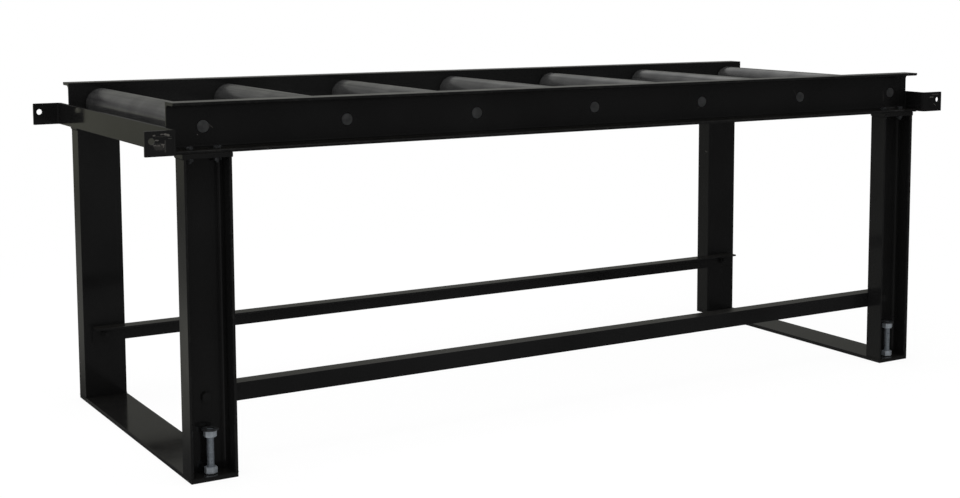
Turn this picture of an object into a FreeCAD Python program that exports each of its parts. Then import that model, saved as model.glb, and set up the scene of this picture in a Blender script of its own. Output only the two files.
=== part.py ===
import FreeCAD
import Part
import math
import os

# Outfeed table: a welded and bolted steel roller table on four channel legs.
# Millimetres. X runs along the table, Y across it, +Z up. The origin is on the
# floor, under the middle of the table.

Vec = FreeCAD.Vector
Precision = 1e-4              # two lengths closer than this are the same
os.makedirs("parts", exist_ok=True)

# --- overall ---------------------------------------------------------------
table_height = 774.0          # floor to the top of the side rails
rail_length = 2038.0
rail_spacing = 695.0          # clear width between the rail webs

# --- rail channel ----------------------------------------------------------
rail_depth = 103.0
rail_flange = 47.0
rail_web = 5.5
rail_flange_thickness = 7.0
rail_root_radius = 10.0

# --- leg channel -----------------------------------------------------------
leg_width = 100.0
leg_flange = 51.0
leg_web = 5.5
leg_flange_thickness = 6.5
leg_root_radius = 9.0
leg_inset = 68.5              # leg centre to the rail end above it
channel_heel_radius = 1.2     # soft outer corner of both channels
channel_toe_radius = 4.5      # rounded inner corner of the flange toes

# --- plates on the legs ----------------------------------------------------
base_plate_thickness = 9.5
cap_plate_thickness = 9.5
cap_plate_overhang = 2.5      # past the leg, each way along the table

# --- end straps: one bent flat bar across each end --------------------------
strap_height = 50.8
strap_thickness = 6.35
strap_above_rail_bottom = 1.5
strap_span = 840.0            # over the outer faces of the two tabs
tab_length = 59.65            # tab past the strap's outer face
strap_bend_radius = 5.0       # inside the bend
tab_corner_radius = 1.5
tab_hole_diameter = 13.5
tab_hole_edge = 14.0          # hole centre to the tab's free end
tab_hole_rise = 5.1           # hole centre above the strap's middle

# --- stretchers: two angles tying the legs ---------------------------------
stretcher_leg = 38.0
stretcher_thickness = 4.8
stretcher_past_leg = 30.5     # past the middle of each leg
stretcher_top = 183.0         # floor to the angle's flat top
stretcher_root_radius = 4.0
stretcher_toe_radius = 1.5

# --- rollers ---------------------------------------------------------------
roller_count = 7
roller_start = 76.2           # left end of the rails to the first roller's axis
roller_finish = 56.8          # last roller's axis to the right end of the rails
roller_axis_drop = 52.5       # rail top to the roller axis
roller_diameter = 76.2
roller_wall = 5.2
roller_end_gap = 3.0          # tube end to the rail web
roller_edge_chamfer = 1.6
shaft_diameter = 25.4
shaft_end_chamfer = 0.5       # shaft ends lie flush with the webs' outer faces
shaft_hole_clearance = 0.15
hub_length = 22.0
hub_recess = 1.2              # hub face inside the tube's end
bearing_diameter = 50.8
bearing_width = 12.7
bearing_split_diameter = 32.0 # outside of the still inner ring
bearing_running_clearance = 0.05
hub_bore_clearance = 4.0      # hub to shaft, behind the bearing

# --- levelling screws ------------------------------------------------------
screw_gauge = 26.5            # back of the leg channel to the screw's axis
screw_diameter = 15.88
screw_end_chamfer = 1.0
screw_tip_height = 1.5        # floor to the screw's tip, backed off
screw_head_height = 86.5      # floor to the underside of the drive nut
screw_top_proud = 1.4         # rod above the drive nut
drive_nut_across_flats = 23.8
drive_nut_height = 14.2
foot_nut_height = 14.5
washer_diameter = 34.9
washer_bore = 17.1
washer_thickness = 3.2
screw_running_clearance = 0.05
screw_plate_clearance = 0.8

# --- bolts that hold the legs to the rails ---------------------------------
rail_bolt_gauge = 25.5        # back of the rail channel to the bolt line
rail_bolt_diameter = 9.52
rail_bolt_across_flats = 14.3
rail_bolt_head_height = 6.2
rail_nut_height = 8.3
rail_bolt_spacing = 59.0      # the pair, along the table
rail_bolt_thread_end = 3.6    # past the nut

# --- bolts that hold the stretchers to the legs ----------------------------
stretcher_bolt_drop = 18.0    # flat top of the angle to the bolt line
stretcher_bolt_diameter = 12.7
stretcher_bolt_across_flats = 19.05
stretcher_bolt_head_height = 8.0
stretcher_nut_height = 11.1
stretcher_bolt_thread_end = 3.6
bolt_hole_clearance = 0.4
hexagon_sides = 6
hexagon_corner_slope = 30.0   # degrees turned off the corners of heads and nuts
hexagon_face_share = 0.94     # round end face of a head or nut, over its flats

# --- places worked out from the sizes --------------------------------------
rail_back = rail_spacing / 2
rail_face = rail_back + rail_web
rail_bottom = table_height - rail_depth
rail_end = rail_length / 2
leg_x = rail_end - leg_inset
stretcher_end = leg_x + stretcher_past_leg
leg_top = rail_bottom - cap_plate_thickness
screw_y = rail_back + screw_gauge
rail_bolt_y = rail_back + rail_bolt_gauge
stretcher_bolt_height = stretcher_top - stretcher_bolt_drop
strap_bottom = rail_bottom + strap_above_rail_bottom
strap_face = rail_end + strap_thickness
tab_end = strap_face + tab_length
roller_axis = table_height - roller_axis_drop
roller_pitch = (rail_length - roller_start - roller_finish) / (roller_count - 1)
roller_half = rail_back - roller_end_gap
bearing_face = roller_half - hub_recess
drive_nut_top = screw_head_height + drive_nut_height
SIDES = (("near", -1), ("far", 1))
ENDS = (("left", -1), ("right", 1))


def save(name, *solids):
    """One node, as one solid or as a group of separate solids."""
    shape = solids[0] if len(solids) == 1 else Part.makeCompound(list(solids))
    shape.exportStep("parts/%s.step" % name)


def rounded_face(corners):
    """A flat face from (point, corner radius) pairs in order round its edge."""
    edges = []
    starts = []
    count = len(corners)
    for index, (point, radius) in enumerate(corners):
        before = (corners[index - 1][0] - point).normalize()
        after = (corners[(index + 1) % count][0] - point).normalize()
        half = before.getAngle(after) / 2
        if radius <= 0:
            starts.append((point, point, None))
            continue
        reach = radius / math.tan(half)
        inward = (before + after).normalize()
        middle = point + inward * (radius / math.sin(half) - radius)
        starts.append((point + before * reach, point + after * reach, middle))
    for index, (enter, leave, middle) in enumerate(starts):
        if middle is not None:
            edges.append(Part.Arc(enter, middle, leave).toShape())
        edges.append(Part.makeLine(leave, starts[(index + 1) % count][0]))
    return Part.Face(Part.Wire(edges))


def channel(depth, flange, web, thickness, root, place, run):
    """A C-channel: place(out, across) puts its section, run is its length."""
    half = depth / 2
    inner = half - thickness
    toe = channel_toe_radius
    heel = channel_heel_radius
    outline = [
        (place(0, -half), heel),
        (place(flange, -half), 0),
        (place(flange, -inner), toe),
        (place(web, -inner), root),
        (place(web, inner), root),
        (place(flange, inner), toe),
        (place(flange, half), 0),
        (place(0, half), heel),
    ]
    return rounded_face(outline).extrude(run)


def rod(diameter, start, direction, length, chamfer=0.0):
    """A round bar from start, with both end edges chamfered if asked."""
    bar = Part.makeCylinder(diameter / 2, length, start, direction)
    if chamfer > 0:
        rims = [edge for edge in bar.Edges if edge.Curve.TypeId == "Part::GeomCircle"]
        bar = bar.makeChamfer(chamfer, rims)
    return bar


def ring(outer, inner, start, direction, length):
    """A plain round ring, given by its two diameters."""
    return rod(outer, start, direction, length).cut(rod(inner, start, direction, length))


def hexagon(across_flats, start, direction, height):
    """A hexagon bar with the corners of both its ends turned off."""
    corner = across_flats / 2 / math.cos(math.pi / hexagon_sides)
    turn = FreeCAD.Rotation(Vec(0, 0, 1), direction)
    points = []
    for index in range(hexagon_sides + 1):
        angle = 2 * math.pi * index / hexagon_sides
        flat_point = Vec(corner * math.cos(angle), corner * math.sin(angle), 0)
        points.append(start + turn.multVec(flat_point))
    bar = Part.Face(Part.makePolygon(points)).extrude(direction * height)
    blunt = across_flats / 2 * hexagon_face_share
    drop = (corner - blunt) * math.tan(math.radians(hexagon_corner_slope))
    side = turn.multVec(Vec(1, 0, 0))
    profile = [start, start + side * blunt, start + side * corner + direction * drop,
               start + side * corner + direction * (height - drop),
               start + side * blunt + direction * height, start + direction * height, start]
    turned = Part.Face(Part.makePolygon(profile)).revolve(start, direction, 360)
    return bar.common(turned)


def nut(across_flats, bore, start, direction, height):
    """A hexagon nut."""
    return hexagon(across_flats, start, direction, height).cut(
        rod(bore, start, direction, height))


def bolt(diameter, across_flats, head_height, seat, direction, shank):
    """A hexagon bolt whose head sits on seat and whose shank runs along direction."""
    head = hexagon(across_flats, seat, direction * -1, head_height)
    stem = rod(diameter, seat - direction * (head_height / 2), direction,
               shank + head_height / 2)
    return head.fuse(stem).removeSplitter()


def roller_stations():
    """The roller axes' places along the table."""
    return [roller_start - rail_end + roller_pitch * index for index in range(roller_count)]


def rail_bolt_places(end):
    """The two bolts over one leg, as places along the table."""
    return [end * leg_x - rail_bolt_spacing / 2, end * leg_x + rail_bolt_spacing / 2]


def make_rail(side):
    """A side rail, web inward, drilled for the shafts and for the leg bolts."""
    rail = channel(rail_depth, rail_flange, rail_web, rail_flange_thickness,
                   rail_root_radius,
                   lambda out, across: Vec(-rail_end, side * (rail_back + out),
                                           table_height - rail_depth / 2 + across),
                   Vec(rail_length, 0, 0))
    holes = []
    for x in roller_stations():
        holes.append(rod(shaft_diameter + 2 * shaft_hole_clearance,
                         Vec(x, side * rail_back, roller_axis), Vec(0, side, 0), rail_web))
    for _, end in ENDS:
        for x in rail_bolt_places(end):
            holes.append(rod(rail_bolt_diameter + 2 * bolt_hole_clearance,
                             Vec(x, side * rail_bolt_y, rail_bottom), Vec(0, 0, 1),
                             rail_flange_thickness))
    return rail.cut(holes)


def make_strap(end):
    """A flat bar bent out into a drilled tab at each side of the table."""
    back = end * rail_end
    face = end * strap_face
    tip = end * tab_end
    outer = strap_span / 2
    inner = outer - strap_thickness
    bend = strap_bend_radius
    outline = [
        (Vec(back, -outer, strap_bottom), bend + strap_thickness),
        (Vec(tip, -outer, strap_bottom), 0),
        (Vec(tip, -inner, strap_bottom), 0),
        (Vec(face, -inner, strap_bottom), bend),
        (Vec(face, inner, strap_bottom), bend),
        (Vec(tip, inner, strap_bottom), 0),
        (Vec(tip, outer, strap_bottom), 0),
        (Vec(back, outer, strap_bottom), bend + strap_thickness),
    ]
    strap = rounded_face(outline).extrude(Vec(0, 0, strap_height))
    hole_x = end * (tab_end - tab_hole_edge)
    hole_z = strap_bottom + strap_height / 2 + tab_hole_rise
    strap = strap.cut(rod(tab_hole_diameter, Vec(hole_x, -outer, hole_z), Vec(0, 1, 0),
                          strap_span))
    corners = [edge for edge in strap.Edges
               if edge.BoundBox.XLength < Precision and abs(edge.BoundBox.Center.x - tip) < Precision
               and edge.BoundBox.ZLength < Precision]
    return strap.makeFillet(tab_corner_radius, corners)


def make_leg(end, side):
    """A channel leg, web inward, drilled for its stretcher bolt."""
    leg = channel(leg_width, leg_flange, leg_web, leg_flange_thickness, leg_root_radius,
                  lambda out, across: Vec(end * leg_x + across, side * (rail_back + out),
                                          base_plate_thickness),
                  Vec(0, 0, leg_top - base_plate_thickness))
    hole = rod(stretcher_bolt_diameter + 2 * bolt_hole_clearance,
               Vec(end * leg_x, side * rail_back, stretcher_bolt_height), Vec(0, side, 0),
               leg_web)
    return leg.cut(hole)


def make_cap_plate(end, side):
    """The plate on top of a leg, under the rail, with its two bolt holes."""
    length = leg_width + 2 * cap_plate_overhang
    low_y = rail_back if side > 0 else -rail_back - leg_flange
    plate = Part.makeBox(length, leg_flange, cap_plate_thickness,
                         Vec(end * leg_x - length / 2, low_y, leg_top))
    holes = [rod(rail_bolt_diameter + 2 * bolt_hole_clearance,
                 Vec(x, side * rail_bolt_y, leg_top), Vec(0, 0, 1), cap_plate_thickness)
             for x in rail_bolt_places(end)]
    return plate.cut(holes)


def make_base_plate(end):
    """The floor plate under one pair of legs, with a hole for each levelling screw."""
    depth = 2 * (rail_back + leg_flange)
    plate = Part.makeBox(leg_width, depth, base_plate_thickness,
                         Vec(end * leg_x - leg_width / 2, -depth / 2, 0))
    holes = [rod(screw_diameter + 2 * screw_plate_clearance,
                 Vec(end * leg_x, side * screw_y, 0), Vec(0, 0, 1), base_plate_thickness)
             for _, side in SIDES]
    return plate.cut(holes)


def make_stretcher(side):
    """An angle along the backs of two legs, its flat leg on top and inward."""
    back = side * rail_back
    inward = -side
    low = stretcher_top - stretcher_leg
    start = -stretcher_end
    thick = stretcher_thickness
    toe = stretcher_toe_radius
    outline = [
        (Vec(start, back, low), 0),
        (Vec(start, back, stretcher_top), 0),
        (Vec(start, back + inward * stretcher_leg, stretcher_top), 0),
        (Vec(start, back + inward * stretcher_leg, stretcher_top - thick), toe),
        (Vec(start, back + inward * thick, stretcher_top - thick), stretcher_root_radius),
        (Vec(start, back + inward * thick, low), toe),
    ]
    angle = rounded_face(outline).extrude(Vec(2 * stretcher_end, 0, 0))
    holes = [rod(stretcher_bolt_diameter + 2 * bolt_hole_clearance,
                 Vec(end * leg_x, back, stretcher_bolt_height), Vec(0, inward, 0), thick)
             for _, end in ENDS]
    return angle.cut(holes)


def make_roller_tube(x):
    """A pipe with its end edges broken."""
    length = 2 * roller_half
    start = Vec(x, -roller_half, roller_axis)
    outer = rod(roller_diameter, start, Vec(0, 1, 0), length, roller_edge_chamfer)
    return outer.cut(rod(roller_diameter - 2 * roller_wall, start, Vec(0, 1, 0), length))


def make_hub(x, side):
    """A pressed hub: it fills the tube's bore and steps in behind the bearing."""
    inward = Vec(0, -side, 0)
    start = Vec(x, side * bearing_face, roller_axis)
    body = rod(roller_diameter - 2 * roller_wall, start, inward, hub_length)
    seat = rod(bearing_diameter, start, inward, bearing_width)
    through = rod(shaft_diameter + 2 * hub_bore_clearance, start, inward, hub_length)
    return body.cut([seat, through])


def make_bearing_ring(x, side):
    """The turning part of a bearing: outer ring and shield as one."""
    start = Vec(x, side * bearing_face, roller_axis)
    bore = bearing_split_diameter + 2 * bearing_running_clearance
    return ring(bearing_diameter, bore, start, Vec(0, -side, 0), bearing_width)


def make_inner_ring(x, side):
    """The still part of a bearing, on the shaft."""
    return ring(bearing_split_diameter, shaft_diameter,
                Vec(x, side * bearing_face, roller_axis), Vec(0, -side, 0), bearing_width)


def make_spacer(x, side):
    """The collar that keeps a roller off the rail web."""
    return ring(bearing_split_diameter, shaft_diameter,
                Vec(x, side * bearing_face, roller_axis), Vec(0, side, 0),
                rail_back - bearing_face)


def make_shaft(x):
    """A fixed round shaft through both webs."""
    return rod(shaft_diameter, Vec(x, -rail_face, roller_axis), Vec(0, 1, 0),
               2 * rail_face, shaft_end_chamfer)


def make_levelling_screw(end, side):
    """A threaded rod and the drive nut fixed at its top, as two solids."""
    centre = Vec(end * leg_x, side * screw_y, 0)
    up = Vec(0, 0, 1)
    stem = rod(screw_diameter, centre + up * screw_tip_height, up,
               drive_nut_top + screw_top_proud - screw_tip_height, screw_end_chamfer)
    drive = nut(drive_nut_across_flats, screw_diameter, centre + up * screw_head_height, up,
                drive_nut_height)
    return stem, drive


def make_top_washer(end, side):
    """The washer that lies on the drive nut."""
    return ring(washer_diameter, washer_bore,
                Vec(end * leg_x, side * screw_y, drive_nut_top), Vec(0, 0, 1),
                washer_thickness)


def make_foot_nut(end, side):
    """The nut welded on the base plate, in which a levelling screw turns."""
    return nut(drive_nut_across_flats, screw_diameter + 2 * screw_running_clearance,
               Vec(end * leg_x, side * screw_y, base_plate_thickness), Vec(0, 0, 1),
               foot_nut_height)


def make_rail_bolts():
    """All the bolts down through the rails' lower flanges and the cap plates."""
    seat = rail_bottom + rail_flange_thickness
    shank = (rail_flange_thickness + cap_plate_thickness + rail_nut_height
             + rail_bolt_thread_end)
    return [bolt(rail_bolt_diameter, rail_bolt_across_flats, rail_bolt_head_height,
                 Vec(x, side * rail_bolt_y, seat), Vec(0, 0, -1), shank)
            for _, side in SIDES for _, end in ENDS for x in rail_bolt_places(end)]


def make_rail_nuts():
    """The nuts under the cap plates."""
    return [nut(rail_bolt_across_flats, rail_bolt_diameter,
                Vec(x, side * rail_bolt_y, leg_top), Vec(0, 0, -1), rail_nut_height)
            for _, side in SIDES for _, end in ENDS for x in rail_bolt_places(end)]


def make_stretcher_bolts():
    """One bolt from inside each leg channel through the web and the angle."""
    shank = (leg_web + stretcher_thickness + stretcher_nut_height
             + stretcher_bolt_thread_end)
    return [bolt(stretcher_bolt_diameter, stretcher_bolt_across_flats,
                 stretcher_bolt_head_height,
                 Vec(end * leg_x, side * (rail_back + leg_web), stretcher_bolt_height),
                 Vec(0, -side, 0), shank)
            for _, side in SIDES for _, end in ENDS]


def make_stretcher_nuts():
    """The nuts on the inner faces of the angles."""
    return [nut(stretcher_bolt_across_flats, stretcher_bolt_diameter,
                Vec(end * leg_x, side * (rail_back - stretcher_thickness),
                    stretcher_bolt_height),
                Vec(0, -side, 0), stretcher_nut_height)
            for _, side in SIDES for _, end in ENDS]


# --- frame -----------------------------------------------------------------
for side_name, side in SIDES:
    save("%s_side_rail" % side_name, make_rail(side))
    save("%s_stretcher" % side_name, make_stretcher(side))
for end_name, end in ENDS:
    save("%s_end_strap" % end_name, make_strap(end))
    save("%s_base_plate" % end_name, make_base_plate(end))
    for side_name, side in SIDES:
        save("%s_%s_leg" % (side_name, end_name), make_leg(end, side))
        save("%s_%s_cap_plate" % (side_name, end_name), make_cap_plate(end, side))

# --- rollers ---------------------------------------------------------------
sides = [side for _, side in SIDES]
stations = roller_stations()
for number, x in enumerate(stations, start=1):
    save("roller_tube_%d" % number, make_roller_tube(x))
    save("roller_hubs_%d" % number, *[make_hub(x, side) for side in sides])
    save("roller_bearings_%d" % number, *[make_bearing_ring(x, side) for side in sides])
    save("roller_shaft_%d" % number, make_shaft(x))
save("bearing_inner_rings", *[make_inner_ring(x, side) for x in stations for side in sides])
save("shaft_spacers", *[make_spacer(x, side) for x in stations for side in sides])

# --- levelling screws ------------------------------------------------------
for end_name, end in ENDS:
    for side_name, side in SIDES:
        save("%s_%s_levelling_screw" % (side_name, end_name),
             *make_levelling_screw(end, side))
        save("%s_%s_top_washer" % (side_name, end_name), make_top_washer(end, side))
save("foot_nuts", *[make_foot_nut(end, side) for _, end in ENDS for side in sides])

# --- fasteners -------------------------------------------------------------
save("rail_bolts", *make_rail_bolts())
save("rail_nuts", *make_rail_nuts())
save("stretcher_bolts", *make_stretcher_bolts())
save("stretcher_nuts", *make_stretcher_nuts())
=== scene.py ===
import math

import bmesh
import bpy
from mathutils import Euler, Matrix, Vector


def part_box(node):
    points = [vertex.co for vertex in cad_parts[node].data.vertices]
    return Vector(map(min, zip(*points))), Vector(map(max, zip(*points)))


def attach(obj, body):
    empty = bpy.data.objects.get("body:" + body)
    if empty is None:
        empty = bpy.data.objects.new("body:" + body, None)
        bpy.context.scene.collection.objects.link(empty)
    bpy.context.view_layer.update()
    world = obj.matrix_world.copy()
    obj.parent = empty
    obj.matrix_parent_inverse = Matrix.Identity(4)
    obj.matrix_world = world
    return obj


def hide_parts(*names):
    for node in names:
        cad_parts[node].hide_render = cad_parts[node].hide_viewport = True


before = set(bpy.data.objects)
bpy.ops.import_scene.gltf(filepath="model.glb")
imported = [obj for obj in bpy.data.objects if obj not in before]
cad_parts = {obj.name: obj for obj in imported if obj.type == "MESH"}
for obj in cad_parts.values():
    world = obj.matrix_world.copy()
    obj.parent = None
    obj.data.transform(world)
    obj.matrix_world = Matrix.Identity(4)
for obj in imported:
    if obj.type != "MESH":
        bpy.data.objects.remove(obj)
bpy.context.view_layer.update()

# --- base plates -------------------------------------------------------------------
# Two lengths of 4 by 3/8 in flat bar, one under each pair of legs. Each is sawn square,
# drilled for its levelling screws and painted with the frame in black gloss enamel.
MM = 0.001
ENDS = (("left", -1), ("right", 1))
SIDES = (("near", -1), ("far", 1))
screw_hole = 17.48 * MM
plate_edge_break = 0.7 * MM
wear_band = 0.6 * MM
narrowest_worn = 2.4 * wear_band
flat_turn = math.radians(0.5)
worn_turn = math.radians(5)
broken_turn = math.radians(35)
crisp_turn = math.radians(50)
hole_facets = 48
cut_clearance = 2 * MM
UP = (0, 0, 1)

enamel_black = "#0f0f0f"
enamel_faded = "#141414"
shop_dust = "#4a4740"
scuffed_steel = "#8d8a84"
dust_dulling = 0.6
bare_dulling = 0.3
mark_core = 0.8
mark_rim = 1.1


def linear(code):
    """An sRGB hex colour as linear red, green, blue and full alpha."""
    channels = []
    for place in (1, 3, 5):
        value = int(code[place:place + 2], 16) / 255
        channels.append(value / 12.92 if value <= 0.04045 else ((value + 0.055) / 1.055) ** 2.4)
    return (*channels, 1.0)


def add(tree, kind, inputs=None, **settings):
    """Adds a node with its settings; an input takes a value, a socket or a whole node."""
    made = tree.nodes.new(kind)
    for name, value in settings.items():
        setattr(made, name, value)
    for name, value in (inputs or {}).items():
        if isinstance(value, bpy.types.Node):
            value = next(socket for socket in value.outputs if socket.enabled)
        if isinstance(value, bpy.types.NodeSocket):
            tree.links.new(value, made.inputs[name])
        else:
            made.inputs[name].default_value = value
    return made


def blank_material(name):
    """A material with its empty node tree and the place of each point on the piece."""
    material = bpy.data.materials.new(name)
    material.use_nodes = True
    tree = material.node_tree
    tree.nodes.clear()
    return material, tree, add(tree, "ShaderNodeTexCoord").outputs["Object"]


def surfaced(material, inputs):
    """Ends a material in one shader with these inputs."""
    shader = add(material.node_tree, "ShaderNodeBsdfPrincipled", inputs)
    add(material.node_tree, "ShaderNodeOutputMaterial", {"Surface": shader})
    return material


def linked(name, data):
    """A new object at the origin that holds a mesh, a lamp or a camera."""
    piece = bpy.data.objects.new(name, data)
    bpy.context.scene.collection.objects.link(piece)
    return piece


def from_bmesh(name, solid, outwards=True):
    """A new object from a bmesh, its faces turned outwards if they aren't yet."""
    if outwards:
        bmesh.ops.recalc_face_normals(solid, faces=solid.faces)
    mesh = bpy.data.meshes.new(name)
    solid.to_mesh(mesh)
    solid.free()
    return linked(name, mesh)


def prism(name, outline, place, push):
    """A closed solid: the outline's points set out by place, pushed along a vector."""
    solid = bmesh.new()
    low = [solid.verts.new(place(point.x, point.y)) for point in outline]
    high = [solid.verts.new(corner.co + Vector(push)) for corner in low]
    solid.faces.new(low)
    solid.faces.new(high)
    for index in range(len(low)):
        solid.faces.new((low[index - 1], low[index], high[index], high[index - 1]))
    return from_bmesh(name, solid)


def settle(piece):
    """Keeps what the modifiers make of a piece as its plain mesh, and clears them."""
    graph = bpy.context.evaluated_depsgraph_get()
    made = bpy.data.meshes.new_from_object(piece.evaluated_get(graph))
    piece.modifiers.clear()
    piece.data = made


def drill(piece, holes):
    """Drills round holes, each a (middle, direction, diameter, depth)."""
    solid = bmesh.new()
    for middle, direction, diameter, depth in holes:
        turn = Vector(direction).to_track_quat("Z", "Y").to_matrix().to_4x4()
        bmesh.ops.create_cone(solid, cap_ends=True, segments=hole_facets,
                              radius1=diameter / 2, radius2=diameter / 2,
                              depth=depth + 2 * cut_clearance,
                              matrix=Matrix.Translation(middle) @ turn)
    cutter = from_bmesh("drill", solid)
    cut = piece.modifiers.new("drill", "BOOLEAN")
    cut.operation = "DIFFERENCE"
    cut.solver = "EXACT"
    cut.object = cutter
    settle(piece)
    bpy.data.objects.remove(cutter)


def flat_groups(solid):
    """The faces of a bmesh, gathered into groups that lie in one plane each."""
    taken = set()
    groups = []
    for first in solid.faces:
        if first in taken:
            continue
        taken.add(first)
        group = [first]
        for face in group:
            for edge in face.edges:
                for other in edge.link_faces:
                    if other not in taken and edge.calc_face_angle(math.pi) < flat_turn:
                        taken.add(other)
                        group.append(other)
        groups.append(group)
    return groups


def width_of(group):
    """A rough width of a flat group: twice its area over the length of its border."""
    members = set(group)
    border = 0.0
    for face in group:
        for edge in face.edges:
            if not all(other in members for other in edge.link_faces):
                border += edge.calc_length()
    return 2 * sum(face.calc_area() for face in group) / max(border, cut_clearance)


def mark_border(solid, group):
    """Insets a flat group by the wear band, and holds its points inside its own box."""
    places = [vert.co.copy() for face in group for vert in face.verts]
    bounds = [(min(values), max(values)) for values in zip(*places)]
    bmesh.ops.inset_region(solid, faces=group, thickness=wear_band, use_even_offset=True,
                           use_boundary=True)
    for vert in {vert for face in group for vert in face.verts}:
        vert.co = [max(least, min(most, value))
                   for value, (least, most) in zip(vert.co, bounds)]


def break_edges(piece, width):
    """Breaks the sharp edges, marks the outer ones for wear and smooths the shading."""
    round_over = piece.modifiers.new("edge break", "BEVEL")
    round_over.width = width
    round_over.segments = 2
    round_over.limit_method = "ANGLE"
    round_over.angle_limit = broken_turn
    settle(piece)
    solid = bmesh.new()
    solid.from_mesh(piece.data)
    for group in flat_groups(solid):
        if width_of(group) > narrowest_worn:
            mark_border(solid, group)
    worn = solid.verts.layers.float.new("edge")
    for vert in solid.verts:
        turns = [edge.calc_face_angle_signed(0.0) for edge in vert.link_edges]
        vert[worn] = 1.0 if max(turns, default=0.0) > worn_turn else 0.0
    solid.to_mesh(piece.data)
    solid.free()
    shade_smooth(piece)


def shade_smooth(piece):
    """Smooth shading with crisp corners, weighted to the broad faces."""
    piece.data.polygons.foreach_set("use_smooth", [True] * len(piece.data.polygons))
    piece.data.set_sharp_from_angle(angle=crisp_turn)
    weighted = piece.modifiers.new("weighted normal", "WEIGHTED_NORMAL")
    weighted.keep_sharp = True


def dress(piece, material, slot, body, *nodes):
    """Gives a finished piece its material and its body, and hides its nodes; the slot is not used.
    """
    piece.data.materials.clear()
    piece.data.materials.append(material)
    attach(piece, body)
    if nodes:
        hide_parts(*nodes)


def finish_bar(bar, node, holes, edge_break, paint):
    """Drills a length of steel, breaks its edges and paints it with the frame."""
    drill(bar, holes)
    break_edges(bar, edge_break)
    dress(bar, paint, "frame_paint", "frame", node)


def per_metre(millimetres):
    """A texture scale that gives features of the named real size."""
    return 1000 / millimetres


def clouds(tree, place, millimetres, span, result=(0.0, 1.0), detail=2.0, roughness=0.5):
    """Noise of a real size, of which the span is spread over the result."""
    noise = add(tree, "ShaderNodeTexNoise", {
        "Vector": place, "Scale": per_metre(millimetres), "Detail": detail,
        "Roughness": roughness})
    return add(tree, "ShaderNodeMapRange", {
        "Value": noise, "From Min": span[0], "From Max": span[1],
        "To Min": result[0], "To Max": result[1]})


def layered(tree, base, *layers):
    """A base colour with others laid over it in turn, each a (share, colour)."""
    colour = linear(base)
    for share, over in layers:
        colour = add(tree, "ShaderNodeMix", {
            "Factor": share, "A": colour, "B": linear(over)}, data_type="RGBA")
    return colour


def black_enamel(name, gloss, dust, marks=()):
    """Black enamel on rolled steel; marks are (start, end, width, strength) in metres."""
    material, tree, place = blank_material(name)
    fading = clouds(tree, place, 240, (0.35, 0.65), detail=3.0)
    normal = add(tree, "ShaderNodeNewGeometry").outputs["Normal"]
    height = add(tree, "ShaderNodeSeparateXYZ", {"Vector": normal}).outputs["Z"]
    upward = add(tree, "ShaderNodeMapRange", {"Value": height, "From Min": 0.75, "From Max": 1.0})
    drifts = clouds(tree, place, 45, (0.35, 0.72), (dust / 3, dust), detail=5.0, roughness=0.65)
    dusty = add(tree, "ShaderNodeMath", {0: upward, 1: drifts}, operation="MULTIPLY")

    edge = add(tree, "ShaderNodeAttribute", attribute_name="edge").outputs["Fac"]
    rubbed = clouds(tree, place, 16, (0.5, 0.7), (0.0, 0.02), detail=4.0, roughness=0.7)
    bare = add(tree, "ShaderNodeMath", {0: edge, 1: rubbed}, operation="MULTIPLY")
    # Each mark lays grey bare steel into the enamel; on the frame one mark is a painted highlight,
    # not a knock.
    for start, end, width, strength in marks:
        run = Vector(end) - Vector(start)
        from_start = add(tree, "ShaderNodeVectorMath", {0: place, 1: start}, operation="SUBTRACT")
        share = add(tree, "ShaderNodeVectorMath", {
            0: from_start, 1: run / max(run.length_squared, MM * MM)}, operation="DOT_PRODUCT")
        held = add(tree, "ShaderNodeClamp", {"Value": share})
        nearest = add(tree, "ShaderNodeVectorMath", {0: run, "Scale": held}, operation="SCALE")
        gap = add(tree, "ShaderNodeVectorMath", {0: from_start, 1: nearest}, operation="DISTANCE")
        ragged = add(tree, "ShaderNodeTexNoise", {"Vector": place, "Scale": per_metre(2.5)})
        wander = add(tree, "ShaderNodeMath", {0: ragged, 1: width, 2: gap},
                     operation="MULTIPLY_ADD")
        spot = add(tree, "ShaderNodeMapRange", {
            "Value": wander, "From Min": width * mark_core, "From Max": width * mark_rim,
            "To Min": strength, "To Max": 0.0})
        bare = add(tree, "ShaderNodeMath", {0: bare, 1: spot}, operation="MAXIMUM")
    colour = layered(tree, enamel_black, (fading, enamel_faded), (dusty, shop_dust),
                     (bare, scuffed_steel))

    smudged = clouds(tree, place, 80, (0.35, 0.7), (gloss, gloss + 0.06), detail=4.0,
                     roughness=0.6)
    dulled = add(tree, "ShaderNodeMath", {0: dusty, 1: dust_dulling, 2: smudged},
                 operation="MULTIPLY_ADD")
    roughness = add(tree, "ShaderNodeMath", {0: bare, 1: bare_dulling, 2: dulled},
                    operation="MULTIPLY_ADD")

    waves = add(tree, "ShaderNodeTexNoise", {"Vector": place, "Scale": per_metre(90)})
    rolled = add(tree, "ShaderNodeBump", {"Height": waves, "Strength": 0.3, "Distance": 0.4 * MM})
    beads = add(tree, "ShaderNodeTexNoise", {"Vector": place, "Scale": per_metre(4)})
    peel = add(tree, "ShaderNodeBump", {
        "Height": beads, "Strength": 0.2, "Distance": 0.015 * MM, "Normal": rolled})
    worn_in = add(tree, "ShaderNodeBump", {
        "Height": bare, "Strength": 0.4, "Distance": 0.1 * MM, "Normal": peel}, invert=True)
    return surfaced(material, {
        "Base Color": colour, "Metallic": bare, "Roughness": roughness, "Normal": worn_in})


def middle_of(node):
    """The middle of a node's box."""
    low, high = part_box(node)
    return (low + high) / 2


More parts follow.
